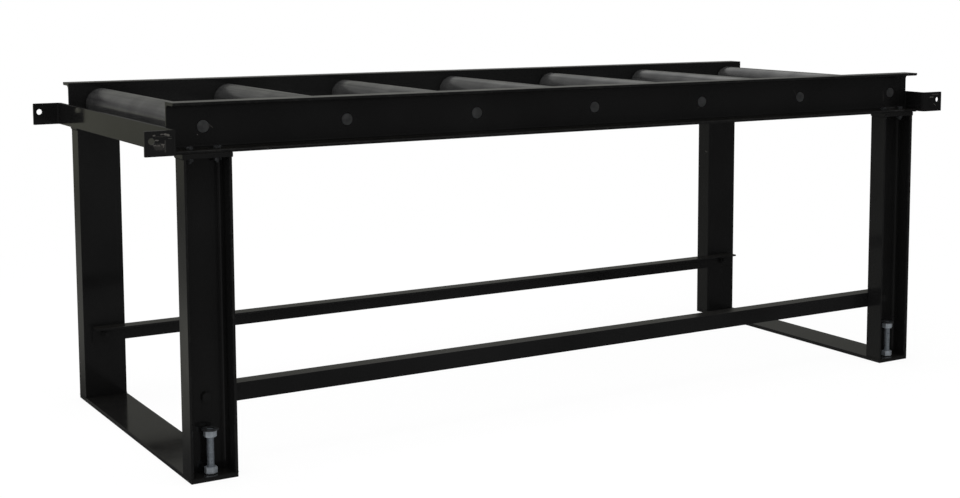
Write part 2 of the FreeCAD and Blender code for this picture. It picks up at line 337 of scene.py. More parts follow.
def lay_plate(name, node, centres, diameter, paint):
    """A length of flat bar that fills its node's box, with an upright hole at each centre."""
    low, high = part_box(node)
    outline = [Vector((low.x, low.y)), Vector((high.x, low.y)),
               Vector((high.x, high.y)), Vector((low.x, high.y))]
    plate = prism(name, outline, lambda u, v: Vector((u, v, low.z)), (0, 0, high.z - low.z))
    holes = [((centre.x, centre.y, (low.z + high.z) / 2), UP, diameter, high.z - low.z)
             for centre in centres]
    finish_bar(plate, node, holes, plate_edge_break, paint)


# Alkyd enamel laid on mill-finish steel: nearly black, glossy enough to mirror the legs in
# the plates, with the slow waves of rolled bar under it, fine orange peel, a little dust on
# what faces up and edges rubbed slightly grey.
plate_enamel = black_enamel("gloss_black_enamel", gloss=0.09, dust=0.05)

for end_name, end in ENDS:
    screws = [middle_of("%s_%s_levelling_screw" % (side_name, end_name))
              for side_name, side in SIDES]
    lay_plate("%s_floor_plate" % end_name, "%s_base_plate" % end_name, screws, screw_hole,
              plate_enamel)

# --- legs --------------------------------------------------------------------------
# Four lengths of the same four-inch channel, webs inward, standing on the base plates.
# Each has one hole through its web for the stretcher bolt.
CORNERS = [("%s_%s" % (side_name, end_name), side)
           for end_name, end in ENDS for side_name, side in SIDES]
ACROSS = (0, 1, 0)
leg_web = 5.5 * MM
rail_web = 5.5 * MM
leg_flange_thickness = 6.5 * MM
leg_root_radius = 9.0 * MM
channel_heel_radius = 1.2 * MM
channel_toe_radius = 4.5 * MM
stretcher_bolt_hole = 13.5 * MM
sawn_edge_break = 0.5 * MM
arc_steps = 5


def rounded(corners):
    """The points round an outline, from corners given as (u, v, radius)."""
    points = []
    for index, (u, v, radius) in enumerate(corners):
        corner = Vector((u, v))
        if radius == 0:
            points.append(corner)
            continue
        back = (Vector(corners[index - 1][:2]) - corner).normalized()
        on = (Vector(corners[(index + 1) % len(corners)][:2]) - corner).normalized()
        half = back.angle(on) / 2
        centre = corner + (back + on).normalized() * radius / math.sin(half)
        first = (corner + back * radius / math.tan(half) - centre).normalized()
        last = (corner + on * radius / math.tan(half) - centre).normalized()
        for step in range(arc_steps + 1):
            points.append(centre + first.slerp(last, step / arc_steps) * radius)
    return points


def channel_outline(depth, flange, web, thickness, root):
    """A channel's section: u runs out from its back, v across from its middle."""
    half = depth / 2
    inner = half - thickness
    return rounded([
        (0, -half, channel_heel_radius), (flange, -half, 0), (flange, -inner, channel_toe_radius),
        (web, -inner, root), (web, inner, root), (flange, inner, channel_toe_radius),
        (flange, half, 0), (0, half, channel_heel_radius)])


def back_of(low, high, side):
    """The face of a box that looks at the table's middle, or away from it for -side."""
    return low.y if side > 0 else high.y


def marks_on(face, rows):
    """Marks on a face along the table, each row (x, z, end x, end z, mm wide, strength)."""
    return [((x, face, z), (end_x, face, end_z), width * MM, strength)
            for x, z, end_x, end_z, width, strength in rows]


bolt_line = middle_of("stretcher_bolts").z
frame_marks_and_painted_highlight = marks_on(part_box("near_side_rail")[1].y - rail_web, [
    (-0.9316, 0.7258, -0.9227, 0.7180, 0.9, 0.3),
    (-0.9557, 0.7057, -0.9542, 0.7046, 1.6, 0.35),
    (-0.9345, 0.6572, -0.9255, 0.6578, 1.8, 0.3),
    (0.9356, 0.7265, 0.9376, 0.6997, 1.4, 0.08),
    (0.3122, 0.7043, 0.3222, 0.7150, 1.0, 0.08),
    (0.6217, 0.7401, 0.6321, 0.7295, 1.0, 0.06)])
# A painted highlight: a small grey spot on the outer face of the far-right leg's left flange, drawn
# as bare steel where the gloss enamel catches the light.
frame_marks_and_painted_highlight.append(((0.9005, 0.3657, 0.5026), (0.9005, 0.3560, 0.5007), 2.0 * MM, 0.2))
# The same enamel on legs, rails and stretchers, with a few knocks: a slanting scratch by the
# first shaft, small dings that show grey metal, and one painted highlight on a leg's flange.
frame_enamel = black_enamel("knocked_black_enamel_painted_highlight", gloss=0.08, dust=0.12, marks=frame_marks_and_painted_highlight)
for corner, side in CORNERS:
    low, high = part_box("%s_leg" % corner)
    back = back_of(low, high, side)
    centre_x = (low.x + high.x) / 2
    outline = channel_outline(high.x - low.x, high.y - low.y, leg_web, leg_flange_thickness,
                              leg_root_radius)
    leg = prism("%s_channel_leg" % corner, outline,
                lambda u, v: Vector((centre_x + v, back + side * u, low.z)),
                (0, 0, high.z - low.z))
    bolt_place = (centre_x, back + side * leg_web / 2, bolt_line)
    finish_bar(leg, "%s_leg" % corner, [(bolt_place, ACROSS, stretcher_bolt_hole, leg_web)],
               sawn_edge_break, frame_enamel)

# --- cap plates --------------------------------------------------------------------
# A piece of flat bar on top of each leg, a little longer than the leg is wide, with the
# two bolt holes that the rail is held down by.
rail_bolt_hole = 10.3 * MM
rail_bolt_spacing = 59.0 * MM
rail_bolt_across_flats = 14.3 * MM
rail_bolt_corner = rail_bolt_across_flats / 2 / math.cos(math.pi / 6)


def rail_bolt_row(corner, side):
    """The two bolts through one cap plate, as points in plan."""
    centre = middle_of("%s_cap_plate" % corner).x
    low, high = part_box("rail_bolts")
    line = back_of(low, high, -side) - side * rail_bolt_corner
    return [Vector((centre + shift * rail_bolt_spacing / 2, line)) for shift in (-1, 1)]


for corner, side in CORNERS:
    lay_plate("%s_top_plate" % corner, "%s_cap_plate" % corner, rail_bolt_row(corner, side),
              rail_bolt_hole, frame_enamel)

# --- stretchers --------------------------------------------------------------------
# Two lengths of 1-1/2 in angle, bolted flat to the backs of the legs with one leg of the
# angle on top, turned inward.
stretcher_thickness = 4.8 * MM
stretcher_root_radius = 4.0 * MM
stretcher_toe_radius = 1.5 * MM

for side_name, side in SIDES:
    node = "%s_stretcher" % side_name
    low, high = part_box(node)
    back = back_of(low, high, -side)
    reach = high.y - low.y
    drop = high.z - low.z
    thick = stretcher_thickness
    outline = rounded([
        (0, -drop, 0), (0, 0, 0), (reach, 0, 0), (reach, -thick, stretcher_toe_radius),
        (thick, -thick, stretcher_root_radius), (thick, -drop, stretcher_toe_radius)])
    angle = prism("%s_angle_stretcher" % side_name, outline,
                  lambda u, v: Vector((low.x, back - side * u, high.z + v)),
                  (high.x - low.x, 0, 0))
    leg_middles = [middle_of("%s_%s_leg" % (side_name, end_name)).x for end_name, end in ENDS]
    holes = [((x, back - side * thick / 2, bolt_line), ACROSS, stretcher_bolt_hole, thick)
             for x in leg_middles]
    finish_bar(angle, node, holes, sawn_edge_break, frame_enamel)

# --- side rails --------------------------------------------------------------------
# Two hot-rolled four-inch channels, webs inward, that carry the rollers. Each web is
# drilled for seven shafts and each lower flange for the bolts into the legs.
rail_flange_thickness = 7.0 * MM
rail_root_radius = 10.0 * MM
shaft_hole = 26.2 * MM
ROLLERS = range(1, 8)
stations = [middle_of("roller_shaft_%d" % number).x for number in ROLLERS]
axis_height = middle_of("roller_shaft_1").z

for side_name, side in SIDES:
    node = "%s_side_rail" % side_name
    low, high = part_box(node)
    back = back_of(low, high, side)
    outline = channel_outline(high.z - low.z, high.y - low.y, rail_web,
                              rail_flange_thickness, rail_root_radius)
    rail = prism("%s_channel_rail" % side_name, outline,
                 lambda u, v: Vector((low.x, back + side * u, (low.z + high.z) / 2 + v)),
                 (high.x - low.x, 0, 0))
    holes = [((x, back + side * rail_web / 2, axis_height), ACROSS, shaft_hole, rail_web)
             for x in stations]
    for end_name, end in ENDS:
        holes += [((point.x, point.y, low.z + rail_flange_thickness / 2), UP,
                   rail_bolt_hole, rail_flange_thickness)
                  for point in rail_bolt_row("%s_%s" % (side_name, end_name), side)]
    finish_bar(rail, node, holes, sawn_edge_break, frame_enamel)

# --- end straps --------------------------------------------------------------------
# A 2 by 1/4 in flat bar across each end of the rails, bent out into a tab at each side.
# The tabs are drilled to bolt the table to a machine or to the next table.
strap_thickness = 6.35 * MM
strap_bend_radius = 5.0 * MM
tab_corner_radius = 1.5 * MM
tab_hole = 13.5 * MM
tab_hole_edge = 14.0 * MM
tab_hole_rise = 5.1 * MM
tab_marks = marks_on(-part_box("left_end_strap")[1].y, [
    (-1.0668, 0.7142, -1.0648, 0.7145, 3.2, 0.35),
    (-1.0525, 0.7160, -1.0481, 0.7162, 2.4, 0.25),
    (-1.0438, 0.7156, -1.0370, 0.7139, 4.0, 0.6),
    (-1.0631, 0.7119, -1.0323, 0.7111, 1.2, 0.06),
    (-1.0380, 0.7072, -1.0314, 0.7073, 1.4, 0.12),
    (-1.0635, 0.7049, -1.0580, 0.7044, 2.6, 0.35),
    (-1.0669, 0.6950, -1.0551, 0.6937, 4.2, 0.14),
    (-1.0660, 0.6953, -1.0637, 0.6949, 2.0, 0.35),
    (-1.0570, 0.6946, -1.0558, 0.6949, 2.0, 0.3),
    (-1.0508, 0.6962, -1.0475, 0.6956, 3.0, 0.5),
    (-1.0483, 0.6933, -1.0476, 0.6909, 2.2, 0.3),
    (-1.0441, 0.7029, -1.0446, 0.6814, 3.0, 0.07),
    (-1.0606, 0.6920, -1.0507, 0.6914, 13.0, 0.06),
    (1.0505, 0.7169, 1.0734, 0.7166, 2.6, 0.12),
    (1.0420, 0.7096, 1.0545, 0.7103, 2.8, 0.25),
    (1.0567, 0.6923, 1.0644, 0.6872, 2.4, 0.12)])
tab_marks.append(((-1.0254, 0.2530, 0.7190), (-1.0254, 0.2610, 0.7190), 4.0 * MM, 0.25))
# The enamel round the tab holes, chipped to bright steel by bolts and washers.
strap_enamel = black_enamel("chipped_black_enamel", gloss=0.07, dust=0.1, marks=tab_marks)
for end_name, end in ENDS:
    node = "%s_end_strap" % end_name
    low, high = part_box(node)
    tip = low.x if end < 0 else high.x
    back = high.x if end < 0 else low.x
    face = back + end * strap_thickness
    outer = high.y
    inner = outer - strap_thickness
    outer_bend = strap_bend_radius + strap_thickness
    outline = rounded([
        (back, -outer, outer_bend), (tip, -outer, 0), (tip, -inner, 0),
        (face, -inner, strap_bend_radius), (face, inner, strap_bend_radius), (tip, inner, 0),
        (tip, outer, 0), (back, outer, outer_bend)])
    strap = prism("%s_bent_strap" % end_name, outline,
                  lambda u, v: Vector((u, v, low.z)), (0, 0, high.z - low.z))
    solid = bmesh.new()
    solid.from_mesh(strap.data)
    tab_corners = [edge for edge in solid.edges
                   if all(abs(vert.co.x - tip) < wear_band for vert in edge.verts)
                   and abs(edge.verts[0].co.z - edge.verts[1].co.z) < wear_band]
    bmesh.ops.bevel(solid, geom=tab_corners, offset=tab_corner_radius, segments=4,
                    affect="EDGES", profile=0.5)
    solid.to_mesh(strap.data)
    solid.free()
    hole_height = (low.z + high.z) / 2 + tab_hole_rise
    holes = [((tip - end * tab_hole_edge, side * (outer + inner) / 2, hole_height), ACROSS,
              tab_hole, strap_thickness) for side_name, side in SIDES]
    finish_bar(strap, node, holes, plate_edge_break, strap_enamel)

# --- rollers -----------------------------------------------------------------------
# Seven lengths of 3 in tube that turn freely on ball bearings. Each is cut square, its
# end edges are broken, and it is sprayed with a metallic grey that the stock has rubbed.
roller_wall = 5.2 * MM
roller_edge_chamfer = 1.6 * MM
roller_facets = 96
roller_grey = "#8e8e8e"
roller_rubbed = "#a4a4a3"
roller_scuff = "#646567"


def geometry_tree(name, sizes):
    """An empty geometry tree, with a named input for each (label, kind) of sizes."""
    tree = bpy.data.node_groups.new(name, "GeometryNodeTree")
    tree.interface.new_socket("Geometry", in_out="OUTPUT", socket_type="NodeSocketGeometry")
    tree.interface.new_socket("Geometry", in_out="INPUT", socket_type="NodeSocketGeometry")
    for label, kind in sizes:
        tree.interface.new_socket(label, in_out="INPUT", socket_type="NodeSocket" + kind)
    return tree, add(tree, "NodeGroupInput").outputs


def grow(carrier, tree, values):
    """Runs a geometry tree on its carrier and keeps the result as a plain mesh."""
    modifier = carrier.modifiers.new(tree.name, "NODES")
    modifier.node_group = tree
    for item in tree.interface.items_tree:
        if item.in_out == "INPUT" and item.name in values:
            modifier[item.identifier] = values[item.name]
    settle(carrier)
    return carrier


def carrier_of(name, points, edges=()):
    """An object that is only the points, and lines, on which a tree sets its work."""
    mesh = bpy.data.meshes.new(name)
    mesh.from_pydata([tuple(point) for point in points], list(edges), [])
    return linked(name, mesh)


def close_tree(tree, geometry, material):
    """Ends a geometry tree as one real, smooth mesh in its material."""
    real = add(tree, "GeometryNodeRealizeInstances", {"Geometry": geometry})
    smooth = add(tree, "GeometryNodeSetShadeSmooth", {"Geometry": real})
    painted = add(tree, "GeometryNodeSetMaterial", {"Geometry": smooth, "Material": material})
    add(tree, "NodeGroupOutput", {0: painted})


ring_tree, size = geometry_tree("turned_ring", [
    ("Outer Radius", "Float"), ("Wall", "Float"), ("Length", "Float"), ("Edge Break", "Float"),
    ("Facets", "Int"), ("Turn", "Rotation"), ("Material", "Material")])
half_wall = add(ring_tree, "ShaderNodeMath", {0: size["Wall"], 1: 0.5}, operation="MULTIPLY")
mean_radius = add(ring_tree, "ShaderNodeMath", {
    0: size["Outer Radius"], 1: half_wall}, operation="SUBTRACT")
circle = add(ring_tree, "GeometryNodeCurvePrimitiveCircle", {
    "Resolution": size["Facets"], "Radius": mean_radius})
section = add(ring_tree, "GeometryNodeCurvePrimitiveQuadrilateral", {
    "Width": size["Wall"], "Height": size["Length"]})
broken = add(ring_tree, "GeometryNodeFilletCurve", {
    "Curve": section, "Radius": size["Edge Break"], "Count": 3}, mode="POLY")
ring = add(ring_tree, "GeometryNodeCurveToMesh", {"Curve": circle, "Profile Curve": broken})
set_out = add(ring_tree, "GeometryNodeInstanceOnPoints", {
    "Points": size["Geometry"], "Instance": ring, "Rotation": size["Turn"]})
close_tree(ring_tree, set_out, size["Material"])


def rubbed_roller_paint(name):
    """Metallic grey spray paint over drawn tube, rubbed round by the stock."""
    material, tree, place = blank_material(name)
    round_it = add(tree, "ShaderNodeMapping", {"Vector": place, "Scale": (0.03, 1.0, 0.03)})
    rubbed = clouds(tree, round_it, 60, (0.35, 0.7), detail=1.0)
    down_it = add(tree, "ShaderNodeMapping", {"Vector": place, "Scale": (1.0, 0.02, 1.0)})
    draw_lines = add(tree, "ShaderNodeTexNoise", {
        "Vector": down_it, "Scale": per_metre(9), "Detail": 4.0, "Roughness": 0.6})
    drawn = add(tree, "ShaderNodeMapRange", {
        "Value": draw_lines, "From Min": 0.45, "From Max": 0.7, "To Max": 0.6})
    lines = clouds(tree, round_it, 4, (0.62, 0.76), (0.0, 0.03), roughness=0.6)
    scuff = add(tree, "ShaderNodeMath", {0: lines, 1: drawn}, operation="MAXIMUM")
    colour = layered(tree, roller_grey, (rubbed, roller_rubbed), (scuff, roller_scuff))
    sheen = add(tree, "ShaderNodeMapRange", {"Value": rubbed, "To Min": 0.27, "To Max": 0.24})
    ribbed = add(tree, "ShaderNodeBump", {
        "Height": draw_lines, "Strength": 0.2, "Distance": 0.2 * MM})
    speckle = add(tree, "ShaderNodeTexNoise", {"Vector": place, "Scale": per_metre(2.5)})
    grain = add(tree, "ShaderNodeBump", {
        "Height": speckle, "Strength": 0.03, "Distance": 0.01 * MM, "Normal": ribbed})
    return surfaced(material, {
        "Base Color": colour, "Roughness": sheen, "Metallic": 0.92, "Normal": grain})


# Metallic grey spray paint on drawn tube: a satin mirror that is bright where it looks at the
# room and dark where it looks at the black rails, with lengthwise streaks and faint rings
# where bar stock has rubbed it round.
roller_paint = rubbed_roller_paint("rubbed_metallic_grey")
across_table = Euler((math.pi / 2, 0, 0))
for number, x in enumerate(stations, start=1):
    node = "roller_tube_%d" % number
    low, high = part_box(node)
    tube = carrier_of("roller_pipe_%d" % number, [(low + high) / 2])
    grow(tube, ring_tree, {
        "Outer Radius": (high.z - low.z) / 2, "Wall": roller_wall, "Length": high.y - low.y,
        "Edge Break": roller_edge_chamfer, "Facets": roller_facets, "Turn": across_table,
        "Material": roller_paint})
    shade_smooth(tube)
    dress(tube, roller_paint, "roller_paint", "roller_%d" % number, node)

# --- roller shafts -----------------------------------------------------------------
# Seven lengths of 1 in bright bar, fixed in both webs and cut flush with their faces.
# Each end is faced, has its centre mark, and has been brushed over with the frame.
shaft_edge_break = 0.5 * MM
centre_mark_radius = 2.2 * MM
centre_mark_depth = 1.4 * MM
middle_ring = 0.6
shaft_facets = 64
oiled_bar = "#9a9b9c"
stained_bar = "#808182"
lathe_pitch = 0.9 * MM


def lathe(name, profile, facets):
    """A turned solid about Z, from (radius, height) points; keeps each radius."""
    solid = bmesh.new()
    radius_mark = solid.verts.layers.float.new("radius")
    rings = []
    for radius, height in profile:
        turns = [2 * math.pi * step / facets for step in range(facets if radius > 0 else 1)]
        rings.append([solid.verts.new((radius * math.cos(turn), radius * math.sin(turn), height))
                      for turn in turns])
        for vert in rings[-1]:
            vert[radius_mark] = radius
    for below, above in zip(rings, rings[1:]):
        for step in range(facets):
            corners = [below[step % len(below)], below[(step + 1) % len(below)],
                       above[(step + 1) % len(above)], above[step % len(above)]]
            solid.faces.new(list(dict.fromkeys(corners)))
    return from_bmesh(name, solid)


set_out_tree, size = geometry_tree("set_out_copies", [
    ("Unit", "Object"), ("Turn", "Rotation"), ("Material", "Material")])
unit = add(set_out_tree, "GeometryNodeObjectInfo", {"Object": size["Unit"]})
copies = add(set_out_tree, "GeometryNodeInstanceOnPoints", {
    "Points": size["Geometry"], "Instance": unit.outputs["Geometry"], "Rotation": size["Turn"]})
close_tree(set_out_tree, copies, size["Material"])


def set_copies(name, unit, points, turn, material):
    """Copies of a unit piece as one piece, one at each point, all turned alike."""
    placed = carrier_of(name, points)
    grow(placed, set_out_tree, {"Unit": unit, "Turn": turn, "Material": material})
    shade_smooth(placed)
    return placed


def bare_steel(material, film, light, dark, satin, relief):
    """Ends bare steel: two tones and two roughnesses under one film, on its relief."""
    tree = material.node_tree
    roughness = add(tree, "ShaderNodeMapRange", {
        "Value": film, "To Min": satin[0], "To Max": satin[1]})
    return surfaced(material, {
        "Base Color": layered(tree, light, (film, dark)), "Metallic": 1.0,
        "Roughness": roughness, "Normal": relief})


def faced_steel(name, light, dark):
    """Turned mild steel under a thin even film of oil and paint."""
    material, tree, place = blank_material(name)
    radius = add(tree, "ShaderNodeAttribute", attribute_name="radius").outputs["Fac"]
    turns = add(tree, "ShaderNodeMath", {0: radius, 1: 2 * math.pi / lathe_pitch},
                operation="MULTIPLY")
    ridges = add(tree, "ShaderNodeMath", {0: turns}, operation="SINE")
    stain = clouds(tree, place, 14, (0.3, 0.7), detail=3.0)
    turned = add(tree, "ShaderNodeBump", {
        "Height": ridges, "Strength": 0.2, "Distance": 0.01 * MM})
    return bare_steel(material, stain, light, dark, (0.4, 0.5), turned)


# Cold-drawn bar, faced on the lathe and wiped with the frame's paint: even dark grey
# satin discs with fine turning rings.
shaft_steel = faced_steel("faced_bright_bar", oiled_bar, stained_bar)
low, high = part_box("roller_shaft_1")
shaft_half = (high.y - low.y) / 2
shaft_radius = (high.z - low.z) / 2
end_profile = [(0, shaft_half - centre_mark_depth), (centre_mark_radius, shaft_half),
               (shaft_radius * middle_ring, shaft_half),
               (shaft_radius - shaft_edge_break, shaft_half),
               (shaft_radius, shaft_half - shaft_edge_break)]
profile = [(radius, -height) for radius, height in end_profile] + end_profile[::-1]
shaft_unit = lathe("shaft_unit", profile, shaft_facets)
for number, x in enumerate(stations, start=1):
    shaft = set_copies("roller_bar_%d" % number, shaft_unit, [(x, 0, axis_height)],
                       across_table, shaft_steel)
    dress(shaft, shaft_steel, "machined_steel", "frame", "roller_shaft_%d" % number)
bpy.data.objects.remove(shaft_unit)

# --- hubs, bearings and spacers ----------------------------------------------------
# Pressed steel hubs close the pipes' ends and hold shielded ball bearings on the shafts.
# Short collars keep the rollers off the webs. All are plain turned and ground steel.
turned_steel_light = "#8f8d88"
turned_steel_dark = "#5b5955"
ground_steel_light = "#b4b4b2"
ground_steel_dark = "#7d7d7a"


def turned_steel(name, light, dark, grit, shine):
    """Bare steel with fine tool marks round the roller axis and a film of oil."""
    material, tree, place = blank_material(name)
    along = add(tree, "ShaderNodeMapping", {"Vector": place, "Scale": (0.05, 1.0, 0.05)})
    marks = add(tree, "ShaderNodeTexNoise", {
        "Vector": along, "Scale": per_metre(grit), "Detail": 3.0})
    film = clouds(tree, place, 14, (0.35, 0.7), detail=4.0, roughness=0.6)
    cut = add(tree, "ShaderNodeBump", {"Height": marks, "Strength": 0.3, "Distance": 0.02 * MM})
    return bare_steel(material, film, light, dark, (shine, shine + 0.15), cut)


# Mild steel from the lathe: dull grey under oil, with tool marks round it.
hub_steel = turned_steel("turned_oiled_steel", turned_steel_light, turned_steel_dark,
                         grit=1.2, shine=0.35)
# Bearing steel, ground after hardening: paler and smoother than the hubs.
ring_steel = turned_steel("ground_bearing_steel", ground_steel_light, ground_steel_dark,
                          grit=0.8, shine=0.2)
hub_nodes = ["roller_hubs_%d" % number for number in ROLLERS] + ["shaft_spacers"]
bearing_nodes = ["roller_bearings_%d" % number for number in ROLLERS] + ["bearing_inner_rings"]
for names, steel in ((hub_nodes, hub_steel), (bearing_nodes, ring_steel)):
    for name in names:
        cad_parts[name].data.materials.clear()
        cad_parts[name].data.materials.append(steel)

# --- levelling screws --------------------------------------------------------------
# A 5/8-11 threaded rod stands in each leg channel, with a hexagon nut pinned at its top
# as a head and a washer on it. It turns in a nut welded on the base plate.
screw_diameter = 15.88 * MM
thread_lead = 25.4 * MM / 11
thread_depth = 0.9 * MM
drive_nut_across_flats = 23.8 * MM
drive_nut_height = 14.2 * MM
foot_nut_height = 14.5 * MM
nut_face_share = 0.94
nut_corner_slope = math.radians(30)
bore_share = 0.9
foot_nut_play = 0.1 * MM
hexagon_steps = 48
turn_steps = 24
washer_wall = 8.9 * MM
washer_edge_break = 0.4 * MM
bright_zinc = "#d8dfe6"
dull_zinc = "#bac2ca"
# Darker zinc for the rods: painted shade for the shade in the thread's grooves.
thread_zinc_painted_shade = "#aab2ba"
thread_zinc_dull_painted_shade = "#858d95"
zinc_stain = "#5a5c58"
oversprayed_zinc = "#5e6062"
painted_zinc = "#262627"
grime_dulling = 0.2


def hexagon(name, across_flats, height, bore=0):
    """A nut about Z from 0 up, its corners turned off; without a bore it is a head."""
    face_radius = across_flats / 2 * nut_face_share
    solid = bmesh.new()
    columns = []
    for step in range(hexagon_steps):
        angle = 2 * math.pi * step / hexagon_steps
        to_flat = (angle + math.pi / 6) % (math.pi / 3) - math.pi / 6
        reach = across_flats / 2 / math.cos(to_flat)
        drop = (reach - face_radius) * math.tan(nut_corner_slope)
        levels = [(face_radius, 0), (reach, drop), (reach, height - drop), (face_radius, height)]
        if bore > 0:
            levels = [(bore / 2, 0)] + levels + [(bore / 2, height)]
        columns.append([solid.verts.new((radius * math.cos(angle), radius * math.sin(angle), level))
                        for radius, level in levels])
    rings = list(zip(*columns))
    for below, above in zip(rings, rings[1:] + (rings[:1] if bore > 0 else [])):
        for step in range(hexagon_steps):
            solid.faces.new((below[step - 1], below[step], above[step], above[step - 1]))
    if bore == 0:
        solid.faces.new(rings[0])
        solid.faces.new(rings[-1])
    return from_bmesh(name, solid)


thread_tree, size = geometry_tree("screw_thread", [
    ("Radius", "Float"), ("Depth", "Float"), ("Lead", "Float"), ("Length", "Float"),
    ("Bottom", "Float"), ("Material", "Material")])
turns = add(thread_tree, "ShaderNodeMath", {0: size["Length"], 1: size["Lead"]},
            operation="DIVIDE")
crest = add(thread_tree, "ShaderNodeMath", {0: size["Radius"], 1: size["Depth"]},
            operation="SUBTRACT")
helix = add(thread_tree, "GeometryNodeCurveSpiral", {
    "Resolution": turn_steps, "Rotations": turns, "Start Radius": crest, "End Radius": crest,
    "Height": size["Length"]})
upright = add(thread_tree, "GeometryNodeSetCurveNormal", {"Curve": helix}, mode="Z_UP")
ridge = add(thread_tree, "GeometryNodeCurvePrimitiveCircle", {
    "Resolution": 3, "Radius": size["Depth"]})
wound = add(thread_tree, "GeometryNodeCurveToMesh", {
    "Curve": upright, "Profile Curve": ridge, "Fill Caps": True})
lift = add(thread_tree, "ShaderNodeCombineXYZ", {"Z": size["Bottom"]})
raised = add(thread_tree, "GeometryNodeTransform", {"Geometry": wound, "Translation": lift})
both = add(thread_tree, "GeometryNodeJoinGeometry", {0: size["Geometry"]})
thread_tree.links.new(raised.outputs["Geometry"], both.inputs[0])
close_tree(thread_tree, both, size["Material"])


def threaded_rod(name, diameter, depth, lead, low, high, material):
    """A rod about Z from low to high with a real thread along it."""
    core = diameter / 2 - depth
    rod = lathe(name, [(0, low), (core, low), (core, high), (0, high)], turn_steps)
    grow(rod, thread_tree, {
        "Radius": diameter / 2, "Depth": depth, "Lead": lead, "Length": high - low - lead,
        "Bottom": low + lead / 2, "Material": material})
    return rod


def joined(name, parts):
    """Several pieces as one, the parts used up."""
    solid = bmesh.new()
    for part in parts:
        solid.from_mesh(part.data)
        bpy.data.objects.remove(part)
    return from_bmesh(name, solid, outwards=False)


def bolt_and_nut(across_flats, head_height, nut_height, diameter, depth, lead, length, paint):
    """A hexagon bolt that seats at height 0 and a nut for it, each a unit to copy."""
    stem = threaded_rod("stem", diameter, depth, lead, -length, 0.0, paint)
    bolt = joined("bolt_unit", [hexagon("head", across_flats, head_height), stem])
    return bolt, hexagon("nut_unit", across_flats, nut_height, diameter * bore_share)


def zinc_plate(name, light, dark, grime_share):
    """Zinc electroplate on a machined fastener, with grime over a share of it."""
    material, tree, place = blank_material(name)
    cloud = clouds(tree, place, 7, (0.3, 0.7), detail=4.0, roughness=0.6)
    span = (0.7 - grime_share / 2, 0.8 - grime_share / 2)
    grime = clouds(tree, place, 4, span, (0.0, 0.8), detail=5.0, roughness=0.7)
    colour = layered(tree, light, (cloud, dark), (grime, zinc_stain))
    satin = add(tree, "ShaderNodeMapRange", {"Value": cloud, "To Min": 0.3, "To Max": 0.42})
    roughness = add(tree, "ShaderNodeMath", {0: grime, 1: grime_dulling, 2: satin},
                    operation="MULTIPLY_ADD")
    scratches = add(tree, "ShaderNodeTexNoise", {
        "Vector": place, "Scale": per_metre(1.6), "Detail": 3.0})
    marks = add(tree, "ShaderNodeBump", {
        "Height": scratches, "Strength": 0.2, "Distance": 0.04 * MM})
    return surfaced(material, {
        "Base Color": colour, "Metallic": 0.7, "Roughness": roughness, "Normal": marks})


# Bright zinc plate with a blue passivate: pale bluish silver, clouded, with grime
# clouded over a share of it.
nut_zinc = zinc_plate("blue_bright_zinc", bright_zinc, dull_zinc, grime_share=0.2)
# The same plate on the rolled thread, set darker than on the nuts as painted shade for the thread's
# grooves, and holding more grime.
rod_plate_painted_shade = zinc_plate("zinc_on_thread_painted_shade", thread_zinc_painted_shade, thread_zinc_dull_painted_shade, grime_share=0.3)
# The same plate under a thin coat of the frame's black: dark grey, brighter where it is thin.
bolt_zinc = zinc_plate("oversprayed_zinc", oversprayed_zinc, painted_zinc, grime_share=0.1)
untilted = Euler((0, 0, 0))
foot_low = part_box("foot_nuts")[0].z
screw_places = []
for corner, side in CORNERS:
    low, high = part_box("%s_levelling_screw" % corner)
    centre = (low + high) / 2
    washer_low, washer_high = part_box("%s_top_washer" % corner)
    rod = threaded_rod("rod", screw_diameter, thread_depth, thread_lead, low.z, high.z, rod_plate_painted_shade)
    rod_faces = len(rod.data.polygons)
    head = hexagon("head", drive_nut_across_flats, drive_nut_height, screw_diameter * bore_share)
    head.data.transform(Matrix.Translation((0, 0, washer_low.z - drive_nut_height)))
    screw = joined("%s_threaded_leveller" % corner, [rod, head])
    screw.data.transform(Matrix.Translation((centre.x, centre.y, 0)))
    shade_smooth(screw)
    dress(screw, rod_plate_painted_shade, "zinc_plate", "%s_screw" % corner, "%s_levelling_screw" % corner)
    screw.data.materials.append(nut_zinc)
    for face in screw.data.polygons[rod_faces:]:
        face.material_index = 1
    washer = carrier_of("%s_flat_washer" % corner, [(washer_low + washer_high) / 2])
    grow(washer, ring_tree, {
        "Outer Radius": (washer_high.x - washer_low.x) / 2, "Wall": washer_wall,
        "Length": washer_high.z - washer_low.z, "Edge Break": washer_edge_break,
        "Facets": shaft_facets, "Turn": untilted, "Material": bolt_zinc})
    shade_smooth(washer)
    dress(washer, bolt_zinc, "zinc_plate", "%s_lift" % corner, "%s_top_washer" % corner)
    screw_places.append((centre.x, centre.y, foot_low))

foot_unit = hexagon("foot_unit", drive_nut_across_flats, foot_nut_height,
                    screw_diameter + foot_nut_play)
foot_nuts = set_copies("welded_foot_nuts", foot_unit, screw_places, untilted, nut_zinc)
dress(foot_nuts, nut_zinc, "zinc_plate", "frame", "foot_nuts")
bpy.data.objects.remove(foot_unit)

# --- bolts between rails and legs --------------------------------------------------
# Two 3/8 in bolts through each rail's lower flange into the cap plate, with a plain nut
# below. They were plated, and the frame's paint has caught them.
rail_bolt_diameter = 9.52 * MM
rail_bolt_head_height = 6.2 * MM
rail_nut_height = 8.3 * MM
rail_thread_lead = 25.4 * MM / 16
rail_thread_depth = 0.6 * MM

